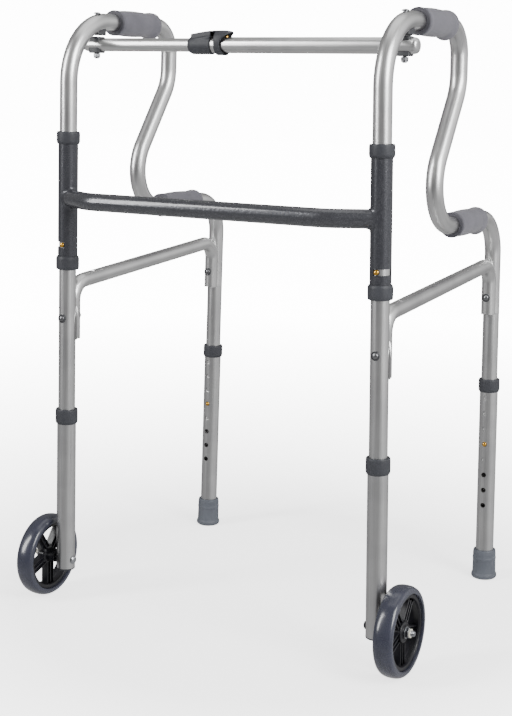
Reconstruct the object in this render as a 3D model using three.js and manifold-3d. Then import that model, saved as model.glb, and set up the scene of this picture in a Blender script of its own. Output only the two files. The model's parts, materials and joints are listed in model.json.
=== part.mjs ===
// Folding walking frame with two-level hand grips, front wheels and rear feet.
// Millimetres. +X is the user's right, -Y is the front (the wheel side), +Z is up, z = 0 is the floor.
// Each side frame swings about its front leg inside a sleeve of the front crossbar,
// and a telescopic top bar with a lock holds the two sides open.

import * as THREE from "three";
import { mergeVertices } from "three/addons/utils/BufferGeometryUtils.js";
import Module from "manifold-3d";

const wasm = await Module();
wasm.setup();

// ---- Driving dimensions ---------------------------------------------------------------------

const GAP = 0.3; // between touching pieces

// Whole frame
const HALF_WIDTH = 264.4; // leg axis from the middle plane, at the floor
const SPLAY = 0.022; // outward lean of each side frame, run over rise
const DEPTH = 429; // front leg axis to rear leg axis
const WHEEL_R = 63.5;
const FOOT_R = 20.5;
const CENTRE_Y = (DEPTH + FOOT_R - WHEEL_R) / 2; // middle of the frame's length

// Side tube centreline, measured in the side frame's plane
const TUBE_R = 12.7;
const TUBE_BORE = 11.1;
const TOP_Z = 874;
const TOP_FRONT_BEND = 88;
const TOP_REAR_BEND = 42;
const DROP_Y = 264.5; // behind the upper grip
const KNEE_Y = 181; // foremost point below the S bend
const KNEE_TOP_Z = 809;
const S_BEND = 65;
const S_ANGLE = 36;
const LOWER_BEND = 60;
const LEG_END_Z = 187; // the inner tubes end here, inside the lower legs

// Sleeves of the crossbar
const SLEEVE_R = 14.5;
const SLEEVE_BORE = 13.3;
const SLEEVE_COLLAR_R = 17.1;
const SLEEVE_BOTTOM_Z = 515;
const SLEEVE_TOP_Z = 716.5;
const SLEEVE_COLLAR_LOW = 20;
const SLEEVE_COLLAR_HIGH = 18;
const COLLAR_CAP = 5; // thickness of a collar over the end of its tube
const COLLAR_EDGE = 1.5;
const STOP_Z = 552;
const SLOT_HEIGHT = 8.6;
const SLOT_FROM = -17; // degrees before the front, room for half of the stop button
const SLOT_TO = 111; // degrees past the front, outwards

// Crossbar
const CROSSBAR_Z = 620;
const CROSSBAR_BOW = 35;
const CROSSBAR_BEND = 60;
const CROSSBAR_ANGLE = 30;

// Lower legs
const LEG_R = 14.3;
const LEG_BORE = 13;
const HOLE_PITCH = 25.4;
const HOLE_R = 4;
const FRONT_LEG = { bottom: 49.5, top: 302.5, collar: 23, firstHole: 271.1, holes: 7, buttonHole: 1 };
const REAR_LEG = { bottom: 8.5, top: 332, collar: 21, firstHole: 302.6, holes: 8, buttonHole: 3 };
const LEG_COLLAR_R = 16.8;

// Spring buttons
const BUTTON_R = 3.6;
const BUTTON_TIP = 16.9; // from the leg's axis
const BUTTON_PLATE_R = 6;
const BUTTON_PLATE = [6.6, 7.8];

// Wheels
const WHEEL_X = 35; // wheel's middle plane from the leg's axis
const TYRE_HALF_WIDTH = 14;
const TYRE_TREAD_HALF = 7;
const RIM_R = 52.2;
const AXLE_R = 4;
const AXLE_Z = WHEEL_R - SPLAY * (WHEEL_X - TYRE_TREAD_HALF);
const SPOKES = 5;
const SPOKE_HALF = 8;
const HUB_OUTER = 9; // outer face of the hub from the wheel's middle plane
const AXLE_HEX_R = 7.5;
const AXLE_HEAD = 3.2;
const AXLE_NUT = 7.8;
const AXLE_END = 57.5; // from the leg's axis

// Brace between the legs of a side frame
const BRACE_R = 11.1;
const BRACE_BORE = 9.6;
const BRACE_OFFSET = 14; // end centreline from the leg's axis
const BRACE_BEND = 28;
const BRACE_FRONT = { bottom: 409, bolt: 442, top: 494 };
const BRACE_REAR = { bottom: 438, bolt: 465, top: 519 };
const BRACE_BOLT_R = 3;

// Grips
const GRIP_LENGTH = 107;
const UPPER_GRIP_Y = 109;
const LOWER_GRIP_Y = 247;

// Top bar
const PIVOT_Y = 68;
const BAR_Z = 840.8;
const PIVOT_X = HALF_WIDTH - SPLAY * BAR_Z;
const OUTER_BAR = { r: 11.1, bore: 9.9, from: -75, to: PIVOT_X + 20 };
const INNER_BAR = { r: 9.55, bore: 8.2, from: -PIVOT_X - 21, to: 60 };
const PIVOT_BOLT_R = 3;
const PIVOT_NUT_R = 5.6;
const PIVOT_NUT = 6.6; // height of the nut
const THREAD_GAP = 0.1;
const LOCK_HOLE_R = 3.4;
const SADDLE_PLANE_Z = 854.6; // underside of the saddles below the side tubes
const LOCK_X = -24.5; // lock button
const LOCK_COLLAR = { from: -82.4, to: -45.7, r: 13 };
const LOCK_BAND = { from: -38, to: -28 };
const LEVER_TIP = LOCK_X + 10.5;
const LOCK_LIFT = 4.5; // room above the bar for the press
const BUSH = { from: 128, to: 140, bore: 5 };
const BAR_END = { chamfer: 6, thick: 8 }; // closed outer ends of the two bar tubes
const BLOCK = { halfX: 10, halfY: 9 }; // saddles of the bar

// Facets
const SIDES = 12;
const BORE_SIDES = 8; // bores of bent tubes
const HOLE_SIDES = 10; // holes for bolts and buttons
const GRIP_SIDES = 16;
const WHEEL_SIDES = 24;
const HEX = 6;
const BEND_STEP = 15; // degrees of bend between two sections
const SLOT_STEPS = 8;
const CUT_MARGIN = 5; // cutters reach at least this far past what they cut

// ---- Materials ------------------------------------------------------------------------------

function material(color, roughness, metalness) {
  return new THREE.MeshStandardMaterial({ color, roughness, metalness });
}

const finishes = {
  aluminium: () => material(0xbfbfbe, 0.32, 1),
  hammertone: () => material(0x4b4c52, 0.45, 0.6),
  darkPlastic: () => material(0x484a52, 0.55, 0),
  blackPlastic: () => material(0x232429, 0.5, 0),
  gripFoam: () => material(0x878691, 0.8, 0),
  rubber: () => material(0x585c64, 0.75, 0),
  tyre: () => material(0x505364, 0.35, 0),
  rim: () => material(0x14141c, 0.4, 0),
  brass: () => material(0xbe821e, 0.3, 1),
  zinc: () => material(0xa9abb0, 0.3, 1),
};

// ---- Geometry helpers -----------------------------------------------------------------------

function signedVolume(geometry) {
  const corner = [new THREE.Vector3(), new THREE.Vector3(), new THREE.Vector3()];
  const { position } = geometry.attributes;
  const index = geometry.index.array;
  let volume = 0;
  for (let i = 0; i < index.length; i += 3) {
    corner.forEach((vertex, k) => vertex.fromBufferAttribute(position, index[i + k]));
    volume += corner[0].dot(corner[1].cross(corner[2])) / 6;
  }
  return volume;
}

// Shares the vertices of a closed surface, drops collapsed triangles and turns its faces outwards.
function weld(source) {
  const bare = source.clone();
  bare.deleteAttribute("normal");
  bare.deleteAttribute("uv");
  const merged = mergeVertices(bare, 1e-3);
  const index = merged.index.array;
  const kept = [];
  for (let i = 0; i < index.length; i += 3) {
    const [a, b, c] = index.slice(i, i + 3);
    if (a !== b && b !== c && c !== a) kept.push(a, b, c);
  }
  merged.setIndex(kept);
  if (signedVolume(merged) < 0) merged.setIndex(kept.reverse());
  return merged;
}

function toSolid(geometry) {
  const welded = weld(geometry);
  return new wasm.Manifold(new wasm.Mesh({
    numProp: 3,
    vertProperties: new Float32Array(welded.attributes.position.array),
    triVerts: new Uint32Array(welded.index.array),
  }));
}

function fromSolid(solid) {
  const mesh = solid.getMesh();
  const geometry = new THREE.BufferGeometry();
  geometry.setAttribute("position", new THREE.BufferAttribute(mesh.vertProperties, 3));
  geometry.setIndex([...mesh.triVerts]);
  return geometry;
}

function cut(body, tools) {
  return fromSolid(tools.reduce((solid, tool) => solid.subtract(toSolid(tool)), toSolid(body)));
}

function join(parts) {
  return fromSolid(parts.map(toSolid).reduce((whole, part) => whole.add(part)));
}

function circle(radius, sides) {
  return Array.from({ length: sides }, (_, k) => {
    const angle = (2 * Math.PI * k) / sides;
    return new THREE.Vector2(radius * Math.cos(angle), radius * Math.sin(angle));
  });
}

function ringShape(outer, bore, sides = SIDES, boreSides = SIDES) {
  const shape = new THREE.Shape(circle(outer, sides));
  if (bore > 0) shape.holes.push(new THREE.Path(circle(bore, boreSides)));
  return shape;
}

// Straight rod or tube along Z.
function rod(outer, from, to, bore = 0, sides = SIDES) {
  const depth = to - from;
  return new THREE.ExtrudeGeometry(ringShape(outer, bore, sides), { depth, bevelEnabled: false })
    .translate(0, 0, from);
}

function alongX(geometry) {
  return geometry.rotateY(Math.PI / 2);
}

function alongY(geometry) {
  return geometry.rotateX(-Math.PI / 2);
}

// Turned piece about Z, from a closed outline of [radius, z] points.
function turned(outline, sides = SIDES) {
  const points = [...outline, outline[0]].map(([r, z]) => new THREE.Vector2(r, z));
  return new THREE.LatheGeometry(points, sides).rotateX(Math.PI / 2);
}

function box(x, y, z) {
  return new THREE.BoxGeometry(x[1] - x[0], y[1] - y[0], z[1] - z[0])
    .translate((x[0] + x[1]) / 2, (y[0] + y[1]) / 2, (z[0] + z[1]) / 2);
}

// A path that is sampled only at its own stations, so straight runs stay one facet long.
class StationPath extends THREE.Curve {
  constructor(stations) {
    super();
    this.stations = stations;
  }

  station(t) {
    return this.stations[Math.round(t * (this.stations.length - 1))];
  }

  getPoint(t, target = new THREE.Vector3()) {
    return target.copy(this.station(t).point);
  }

  getPointAt(t, target) {
    return this.getPoint(t, target);
  }

  getTangent(t, target = new THREE.Vector3()) {
    return target.copy(this.station(t).tangent);
  }

  getTangentAt(t, target) {
    return this.getTangent(t, target);
  }
}

// Draws a centreline of straight runs and bends in one plane, from a start point and a heading.
class Centreline {
  constructor(across, up, start, headingDegrees) {
    this.across = across;
    this.up = up;
    this.at = start;
    this.heading = THREE.MathUtils.degToRad(headingDegrees);
    this.stations = [];
    this.mark();
  }

  mark() {
    const spread = (a, b) => this.across.clone().multiplyScalar(a).addScaledVector(this.up, b);
    this.stations.push({
      point: spread(...this.at),
      tangent: spread(Math.cos(this.heading), Math.sin(this.heading)),
    });
  }

  run(length) {
    this.at = [
      this.at[0] + length * Math.cos(this.heading),
      this.at[1] + length * Math.sin(this.heading),
    ];
    this.mark();
    return this;
  }

  bend(radius, degrees) {
    const side = Math.sign(degrees);
    const start = this.heading;
    const centre = [
      this.at[0] - side * radius * Math.sin(start),
      this.at[1] + side * radius * Math.cos(start),
    ];
    const steps = Math.ceil(Math.abs(degrees) / BEND_STEP);
    for (let k = 1; k <= steps; k += 1) {
      this.heading = start + THREE.MathUtils.degToRad((degrees * k) / steps);
      this.at = [
        centre[0] + side * radius * Math.sin(this.heading),
        centre[1] - side * radius * Math.cos(this.heading),
      ];
      this.mark();
    }
    return this;
  }

  sweep(outer, bore = 0) {
    return new THREE.ExtrudeGeometry(ringShape(outer, bore, SIDES, BORE_SIDES), {
      steps: this.stations.length - 1,
      extrudePath: new StationPath(this.stations),
      bevelEnabled: false,
    });
  }
}

const X_AXIS = new THREE.Vector3(1, 0, 0);
const Y_AXIS = new THREE.Vector3(0, 1, 0);
const Z_AXIS = new THREE.Vector3(0, 0, 1);

// ---- Scene graph ----------------------------------------------------------------------------

const frame = new THREE.Group();
frame.position.y = -CENTRE_Y;

function place(parent, name, geometry, finish) {
  const mesh = new THREE.Mesh(weld(geometry), finish());
  mesh.name = name;
  parent.add(mesh);
}

// Group whose Z axis is the front leg of one side and whose origin is on the floor.
function leaningGroup(side) {
  const group = new THREE.Group();
  group.position.x = side * HALF_WIDTH;
  group.rotation.y = -side * Math.atan(SPLAY);
  group.updateMatrix();
  return group;
}

// ---- Crossbar and its sleeves ---------------------------------------------------------------

function crossbarTube() {
  const sleeveX = HALF_WIDTH - SPLAY * CROSSBAR_Z;
  const angle = THREE.MathUtils.degToRad(CROSSBAR_ANGLE);
  const bendDrop = CROSSBAR_BEND * (1 - Math.cos(angle));
  const slant = (CROSSBAR_BOW - bendDrop) / Math.sin(angle);
  const bendEndX = sleeveX - slant * Math.cos(angle) - CROSSBAR_BEND * Math.sin(angle);
  const centreline = new Centreline(X_AXIS, Y_AXIS, [-sleeveX, 0], -CROSSBAR_ANGLE)
    .run(slant)
    .bend(CROSSBAR_BEND, CROSSBAR_ANGLE)
    .run(2 * bendEndX)
    .bend(CROSSBAR_BEND, CROSSBAR_ANGLE)
    .run(slant);
  const tube = centreline.sweep(TUBE_R, TUBE_BORE).translate(0, 0, CROSSBAR_Z);
  const copes = [-1, 1].map((side) =>
    rod(SLEEVE_R + GAP, SLEEVE_BOTTOM_Z, SLEEVE_TOP_Z).applyMatrix4(leaningGroup(side).matrix));
  return cut(tube, copes);
}

// The stop button of the leg travels in this slot, from the front to the outer side.
function slotCutter(side) {
  const reach = 2 * SLEEVE_R;
  const outline = [new THREE.Vector2(0, 0)];
  for (let angle = SLOT_FROM; angle <= SLOT_TO; angle += (SLOT_TO - SLOT_FROM) / SLOT_STEPS) {
    const turn = THREE.MathUtils.degToRad(angle);
    outline.push(new THREE.Vector2(side * reach * Math.sin(turn), -reach * Math.cos(turn)));
  }
  return new THREE.ExtrudeGeometry(new THREE.Shape(outline), { depth: SLOT_HEIGHT, bevelEnabled: false })
    .translate(0, 0, STOP_Z - SLOT_HEIGHT / 2);
}

// Moulded collar that caps the end of an outer tube and guides the tube that runs through it.
function collar(radius, tubeR, bore, capEnd, skirtEnd) {
  const inward = Math.sign(skirtEnd - capEnd);
  const seat = capEnd + (COLLAR_CAP - GAP) * inward;
  return turned([
    [bore, capEnd],
    [radius - COLLAR_EDGE, capEnd],
    [radius, capEnd + COLLAR_EDGE * inward],
    [radius, skirtEnd],
    [tubeR + GAP, skirtEnd],
    [tubeR + GAP, seat],
    [bore, seat],
  ]);
}

function addCrossbar() {
  place(frame, "crossbar_tube", crossbarTube(), finishes.hammertone);
  [[-1, "left"], [1, "right"]].forEach(([side, word]) => {
    const group = leaningGroup(side);
    frame.add(group);
    const tube = rod(SLEEVE_R, SLEEVE_BOTTOM_Z + COLLAR_CAP, SLEEVE_TOP_Z - COLLAR_CAP, SLEEVE_BORE);
    place(group, `${word}_hinge_sleeve`, cut(tube, [slotCutter(side)]), finishes.hammertone);
    const lower = collar(
      SLEEVE_COLLAR_R, SLEEVE_R, SLEEVE_BORE, SLEEVE_BOTTOM_Z, SLEEVE_BOTTOM_Z + SLEEVE_COLLAR_LOW);
    const upper = collar(
      SLEEVE_COLLAR_R, SLEEVE_R, SLEEVE_BORE, SLEEVE_TOP_Z, SLEEVE_TOP_Z - SLEEVE_COLLAR_HIGH);
    place(group, `${word}_sleeve_collar_lower`, lower, finishes.darkPlastic);
    place(group, `${word}_sleeve_collar_upper`, upper, finishes.darkPlastic);
  });
}

// ---- Side frames ----------------------------------------------------------------------------

function sideCentreline() {
  const lean = THREE.MathUtils.degToRad(S_ANGLE);
  const bendShift = 2 * S_BEND * (1 - Math.cos(lean));
  const slant = (DROP_Y - KNEE_Y - bendShift) / Math.sin(lean);
  const gripZ = KNEE_TOP_Z - 2 * S_BEND * Math.sin(lean) - slant * Math.cos(lean) - LOWER_BEND;
  const line = new Centreline(Y_AXIS, Z_AXIS, [0, LEG_END_Z], 90)
    .run(TOP_Z - TOP_FRONT_BEND - LEG_END_Z)
    .bend(TOP_FRONT_BEND, -90)
    .run(DROP_Y - TOP_REAR_BEND - TOP_FRONT_BEND)
    .bend(TOP_REAR_BEND, -90)
    .run(TOP_Z - TOP_REAR_BEND - KNEE_TOP_Z)
    .bend(S_BEND, -S_ANGLE)
    .run(slant)
    .bend(S_BEND, S_ANGLE)
    .bend(LOWER_BEND, 90)
    .run(DEPTH - 2 * LOWER_BEND - KNEE_Y)
    .bend(LOWER_BEND, -90)
    .run(gripZ - LOWER_BEND - LEG_END_Z);
  return { line, gripZ };
}

const { line: SIDE_LINE, gripZ: LOWER_GRIP_Z } = sideCentreline();

// Height of the side tube's axis where the bar's bolt passes through the top bend.
const PIVOT_TUBE_Z = TOP_Z - TOP_FRONT_BEND
  + Math.sqrt(TOP_FRONT_BEND ** 2 - (TOP_FRONT_BEND - PIVOT_Y) ** 2);

function buttonHoleZ(leg) {
  return leg.firstHole - HOLE_PITCH * leg.buttonHole;
}

// Round cutter that leaves an axis at the given height, towards +Y or -Y.
function sideHole(radius, y, z, direction) {
  const reach = 2 * LEG_R;
  const [from, to] = direction > 0 ? [0, reach] : [-reach, 0];
  return alongY(rod(radius, from, to, 0, HOLE_SIDES)).translate(0, y, z);
}

function braceBoltHole(y, z) {
  return alongY(rod(BRACE_BOLT_R + GAP, -2 * LEG_R, 2 * LEG_R, 0, HOLE_SIDES)).translate(0, y, z);
}

function pivotHole() {
  const from = SADDLE_PLANE_Z - CUT_MARGIN;
  return rod(PIVOT_BOLT_R + GAP, from, TOP_Z + 2 * TUBE_R, 0, HOLE_SIDES).translate(0, PIVOT_Y, 0);
}

function sideTube() {
  return cut(SIDE_LINE.sweep(TUBE_R, TUBE_BORE), [
    sideHole(HOLE_R, 0, STOP_Z, -1),
    sideHole(HOLE_R, 0, buttonHoleZ(FRONT_LEG), 1),
    sideHole(HOLE_R, DEPTH, buttonHoleZ(REAR_LEG), -1),
    braceBoltHole(0, BRACE_FRONT.bolt),
    braceBoltHole(DEPTH, BRACE_REAR.bolt),
    pivotHole(),
  ]);
}

function braceTube() {
  const frontY = BRACE_OFFSET;
  const rearY = DEPTH - BRACE_OFFSET;
  const rise = BRACE_REAR.top - BRACE_FRONT.top;
  const slope = THREE.MathUtils.radToDeg(Math.atan(rise / (rearY - frontY)));
  const turnIn = 90 - slope;
  const turnOut = 90 + slope;
  const tilt = THREE.MathUtils.degToRad(slope);
  const inRun = BRACE_BEND * (1 - Math.sin(tilt));
  const outRun = BRACE_BEND * (1 + Math.sin(tilt));
  const straight = (rearY - frontY - inRun - outRun) / Math.cos(tilt);
  const shoulderZ = BRACE_FRONT.top - BRACE_BEND * Math.cos(tilt);
  const endZ = shoulderZ + straight * Math.sin(tilt);
  const line = new Centreline(Y_AXIS, Z_AXIS, [frontY, BRACE_FRONT.bottom], 90)
    .run(shoulderZ - BRACE_FRONT.bottom)
    .bend(BRACE_BEND, -turnIn)
    .run(straight)
    .bend(BRACE_BEND, -turnOut)
    .run(endZ - BRACE_REAR.bottom);
  return cut(line.sweep(BRACE_R, BRACE_BORE), [
    rod(TUBE_R + GAP, BRACE_FRONT.bottom - CUT_MARGIN, BRACE_FRONT.top + CUT_MARGIN),
    rod(TUBE_R + GAP, BRACE_REAR.bottom - CUT_MARGIN, BRACE_REAR.top + CUT_MARGIN).translate(0, DEPTH, 0),
    braceBoltHole(0, BRACE_FRONT.bolt),
    braceBoltHole(DEPTH, BRACE_REAR.bolt),
  ]);
}

// Bolt along Y with a domed head towards -Y and a domed nut at the other end.
function braceBolt(headY, nutY, z) {
  return alongY(turned([
    [0, headY - 4.2],
    [3.2, headY - 3.6],
    [5.4, headY - 1.6],
    [6, headY],
    [BRACE_BOLT_R, headY],
    [BRACE_BOLT_R, nutY],
    [5.5, nutY],
    [5.5, nutY + 3],
    [3.5, nutY + 5.5],
    [0, nutY + 6],
  ])).translate(0, 0, z);
}

function grip(y, z) {
  const length = GRIP_LENGTH;
  return alongY(turned([
    [TUBE_R + GAP, 0],
    [21, 0],
    [21, 4],
    [18.2, 6.5],
    [19.3, length * 0.4],
    [17.8, length - 22],
    [19.4, length - 8],
    [17, length],
    [TUBE_R + GAP, length],
  ], GRIP_SIDES)).translate(0, y, z);
}

// Spring button: the stud looks out of its hole along +Y or -Y, the plate stays inside the tube.
function springButton(y, z, direction) {
  const stud = turned([
    [0, BUTTON_PLATE[0]],
    [BUTTON_PLATE_R, BUTTON_PLATE[0]],
    [BUTTON_PLATE_R, BUTTON_PLATE[1]],
    [BUTTON_R, BUTTON_PLATE[1]],
    [BUTTON_R, BUTTON_TIP - 1.6],
    [BUTTON_R * 0.75, BUTTON_TIP - 0.5],
    [0, BUTTON_TIP],
  ]);
  return stud.rotateX(direction > 0 ? -Math.PI / 2 : Math.PI / 2).translate(0, y, z);
}

function lowerTube(leg, y, direction) {
  const holes = Array.from({ length: leg.holes }, (_, k) =>
    sideHole(HOLE_R, y, leg.firstHole - HOLE_PITCH * k, direction));
  return cut(rod(LEG_R, leg.bottom, leg.top - COLLAR_CAP, LEG_BORE).translate(0, y, 0), holes);
}

function frontLowerTube() {
  const axleHole = alongX(rod(AXLE_R + GAP, -2 * LEG_R, 2 * LEG_R, 0, HOLE_SIDES))
    .translate(0, 0, AXLE_Z);
  return cut(lowerTube(FRONT_LEG, 0, 1), [axleHole]);
}

function rubberFoot(side) {
  const foot = turned([
    [0, -2],
    [FOOT_R, -2],
    [FOOT_R, 6],
    [FOOT_R - 1.6, 9.5],
    [18.4, 30],
    [18.6, 40],
    [18.2, 46],
    [16.8, 48],
    [LEG_R + GAP, 48],
    [LEG_R + GAP, REAR_LEG.bottom - GAP],
    [0, REAR_LEG.bottom - GAP],
  ], GRIP_SIDES).translate(0, DEPTH, 0);
  const intoSideFrame = leaningGroup(side).matrix.clone().invert();
  const reach = 2 * HALF_WIDTH;
  const belowFloor = box([-reach, reach], [0, 2 * DEPTH], [-reach, 0]).applyMatrix4(intoSideFrame);
  return cut(foot, [belowFloor]);
}

// ---- Wheels ---------------------------------------------------------------------------------

function tyre() {
  const profile = [
    [RIM_R + GAP, -TYRE_HALF_WIDTH + 3],
    [56.5, -TYRE_HALF_WIDTH],
    [60.8, -TYRE_HALF_WIDTH + 1.6],
    [WHEEL_R, -TYRE_TREAD_HALF],
    [WHEEL_R, TYRE_TREAD_HALF],
    [60.8, TYRE_HALF_WIDTH - 1.6],
    [56.5, TYRE_HALF_WIDTH],
    [RIM_R + GAP, TYRE_HALF_WIDTH - 3],
  ];
  return turned(profile, WHEEL_SIDES);
}

function rim() {
  const half = TYRE_HALF_WIDTH - 3.5;
  const band = turned([
    [46.5, -half],
    [RIM_R, -half],
    [RIM_R, half],
    [46.5, half],
    [48.5, 2],
    [48.5, -2],
  ], WHEEL_SIDES);
  const hub = turned([
    [AXLE_R + GAP, -18.5],
    [9.5, -18.5],
    [11.5, -4],
    [15, -2],
    [15, 7],
    [11, HUB_OUTER],
    [AXLE_R + GAP, HUB_OUTER],
  ]);
  const spokes = Array.from({ length: SPOKES }, (_, k) =>
    box([9, 50], [-SPOKE_HALF, SPOKE_HALF], [-6, 5]).rotateZ((2 * Math.PI * k) / SPOKES));
  return join([band, hub, ...spokes]);
}

// Turns a wheel piece from its own Z axis to the axle's direction, pointing outwards.
function onAxle(geometry, side) {
  return alongX(geometry)
    .rotateZ(side > 0 ? 0 : Math.PI)
    .translate(side * WHEEL_X, 0, AXLE_Z);
}

function axleBolt() {
  const seat = -LEG_R - GAP;
  const head = rod(AXLE_HEX_R, seat - AXLE_HEAD, seat, 0, HEX);
  const shank = rod(AXLE_R, seat - AXLE_HEAD / 2, AXLE_END);
  return join([head, shank]).translate(0, 0, -WHEEL_X);
}

function axleNut() {
  return rod(AXLE_HEX_R, HUB_OUTER + 2 * GAP, HUB_OUTER + 2 * GAP + AXLE_NUT, AXLE_R + GAP, HEX);
}

// ---- Assembly of one side -------------------------------------------------------------------

function pivotBolt(lowEnd) {
  const seat = PIVOT_TUBE_Z + TUBE_R + 0.9;
  return turned([
    [0, lowEnd],
    [PIVOT_BOLT_R, lowEnd],
    [PIVOT_BOLT_R, seat],
    [5.8, seat],
    [5.4, seat + 2],
    [3, seat + 3.7],
    [0, seat + 4],
  ]).translate(0, PIVOT_Y, 0);
}

function frameSaddle() {
  const block = box([-9.5, 9.5], [PIVOT_Y - 8, PIVOT_Y + 12], [SADDLE_PLANE_Z, SADDLE_PLANE_Z + 10]);
  return cut(block, [
    SIDE_LINE.sweep(TUBE_R + GAP),
    pivotHole(),
  ]);
}

function addSide(side, word) {
  const group = leaningGroup(side);
  frame.add(group);
  const add = (name, geometry, finish) => place(group, `${word}_${name}`, geometry, finish);

  add("side_tube", sideTube(), finishes.aluminium);
  add("brace_tube", braceTube(), finishes.aluminium);
  add("upper_grip", grip(UPPER_GRIP_Y, TOP_Z), finishes.gripFoam);
  add("lower_grip", grip(LOWER_GRIP_Y, LOWER_GRIP_Z), finishes.gripFoam);
  const braceFace = BRACE_OFFSET + BRACE_R + GAP;
  add("brace_front_bolt", braceBolt(-TUBE_R - GAP, braceFace, BRACE_FRONT.bolt), finishes.zinc);
  const rearBolt = braceBolt(DEPTH - braceFace, DEPTH + TUBE_R + GAP, BRACE_REAR.bolt);
  add("brace_rear_bolt", rearBolt, finishes.zinc);
  add("bar_pivot_bolt", pivotBolt(side > 0 ? BAR_Z - 22 : SADDLE_PLANE_Z + GAP), finishes.zinc);
  add("frame_saddle", frameSaddle(), finishes.blackPlastic);
  add("stop_button", springButton(0, STOP_Z, -1), finishes.brass);

  add("front_lower_tube", frontLowerTube(), finishes.aluminium);
  add("front_leg_collar", legCollar(FRONT_LEG, 0), finishes.darkPlastic);
  add("front_leg_button", springButton(0, buttonHoleZ(FRONT_LEG), 1), finishes.brass);
  add("wheel_tyre", onAxle(tyre(), side), finishes.tyre);
  add("wheel_rim", onAxle(rim(), side), finishes.rim);
  add("axle_bolt", onAxle(axleBolt(), side), finishes.zinc);
  add("axle_nut", onAxle(axleNut(), side), finishes.zinc);

  add("rear_lower_tube", lowerTube(REAR_LEG, DEPTH, -1), finishes.aluminium);
  add("rear_leg_collar", legCollar(REAR_LEG, DEPTH), finishes.darkPlastic);
  add("rear_leg_button", springButton(DEPTH, buttonHoleZ(REAR_LEG), -1), finishes.brass);
  add("rear_foot", rubberFoot(side), finishes.rubber);
}

function legCollar(leg, y) {
  return collar(LEG_COLLAR_R, LEG_R, LEG_BORE, leg.top, leg.top - leg.collar).translate(0, y, 0);
}

// ---- Top bar --------------------------------------------------------------------------------

// The right bolt leans with its side frame; the left one stands square to the bar.
function barBoltHole(side, low, high) {
  const [from, to] = [low - CUT_MARGIN, high + CUT_MARGIN];
  return side > 0
    ? rod(PIVOT_BOLT_R + 2 * GAP, from, to, 0, HOLE_SIDES)
      .translate(0, PIVOT_Y, 0)
      .applyMatrix4(leaningGroup(side).matrix)
    : rod(PIVOT_BOLT_R + GAP, from, to, 0, HOLE_SIDES).translate(-PIVOT_X, PIVOT_Y, 0);
}

function barTube(bar, boltSide) {
  const [open, closed] = boltSide > 0 ? [bar.from, bar.to] : [bar.to, bar.from];
  const tube = alongX(turned([
    [bar.bore, open],
    [bar.r, open],
    [bar.r, closed - boltSide * BAR_END.chamfer],
    [bar.r - BAR_END.chamfer, closed],
    [0, closed],
    [0, closed - boltSide * BAR_END.thick],
    [bar.bore, closed - boltSide * BAR_END.thick],
  ])).translate(0, PIVOT_Y, BAR_Z);
  const boltHole = barBoltHole(boltSide, BAR_Z - bar.r, BAR_Z + bar.r);
  const buttonHole = rod(LOCK_HOLE_R, BAR_Z, BAR_Z + 2 * bar.r, 0, HOLE_SIDES)
    .translate(LOCK_X, PIVOT_Y, 0);
  return cut(tube, [boltHole, buttonHole]);
}

// Block shaped to the bar: above it between the saddles, or below it under the nut.
function barSaddle(side, barR, low, high) {
  const x = side * PIVOT_X;
  const { halfX, halfY } = BLOCK;
  const block = box([x - halfX, x + halfX], [PIVOT_Y - halfY, PIVOT_Y + halfY], [low, high]);
  const bar = alongX(rod(barR + GAP, x - 2 * halfX, x + 2 * halfX)).translate(0, PIVOT_Y, BAR_Z);
  return cut(block, [bar, barBoltHole(side, low, high)]);
}

function lockCollar() {
  const { from, to, r } = LOCK_COLLAR;
  const innerBarR = INNER_BAR.r + GAP;
  const outerBarR = OUTER_BAR.r + GAP;
  return alongX(turned([
    [innerBarR, from],
    [r - COLLAR_EDGE, from],
    [r, from + 4],
    [r, to],
    [outerBarR, to],
    [outerBarR, OUTER_BAR.from - GAP],
    [innerBarR, OUTER_BAR.from - GAP],
  ])).translate(0, PIVOT_Y, BAR_Z);
}

// Sprung tongue above the collar: it carries a band round the bar and a hood over the lock button.
function releaseLever() {
  const tongueSide = new THREE.Shape([
    [LOCK_COLLAR.from + 4, 13.5],
    [LOCK_BAND.from, 17],
    [LEVER_TIP, 17.2],
    [LEVER_TIP, 19.4],
    [LOCK_BAND.to, 20.4],
    [LOCK_BAND.from, 20],
    [LOCK_COLLAR.from + 4, 15.6],
  ].map(([x, z]) => new THREE.Vector2(x, z)));
  const tongue = new THREE.ExtrudeGeometry(tongueSide, { depth: 14, bevelEnabled: false })
    .translate(0, 0, -7)
    .rotateX(Math.PI / 2);
  const outline = (radius) => {
    const lower = circle(radius, SIDES).slice(SIDES / 2);
    const upper = circle(radius, SIDES).slice(0, SIDES / 2);
    return [
      ...lower,
      new THREE.Vector2(radius, 0),
      ...upper.map((point) => new THREE.Vector2(point.x, point.y + LOCK_LIFT)),
      new THREE.Vector2(-radius, LOCK_LIFT),
    ];
  };
  const bandShape = new THREE.Shape(outline(OUTER_BAR.r + 3.2));
  bandShape.holes.push(new THREE.Path(outline(OUTER_BAR.r + 0.6)));
  const width = LOCK_BAND.to - LOCK_BAND.from;
  const band = new THREE.ExtrudeGeometry(bandShape, { depth: width, bevelEnabled: false })
    .rotateX(Math.PI / 2)
    .rotateZ(Math.PI / 2)
    .translate(LOCK_BAND.from, 0, 0);
  const presser = rod(3, 14.6, 18).translate(LOCK_X, 0, 0);
  return join([tongue, band, presser]).translate(0, PIVOT_Y, BAR_Z);
}

function lockButton() {
  const tip = OUTER_BAR.r + 3;
  return turned([
    [0, 3.6],
    [5, 3.6],
    [5, 4.8],
    [3, 4.8],
    [3, tip - 1.4],
    [2.2, tip - 0.4],
    [0, tip],
  ]).translate(LOCK_X, PIVOT_Y, BAR_Z);
}

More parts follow.
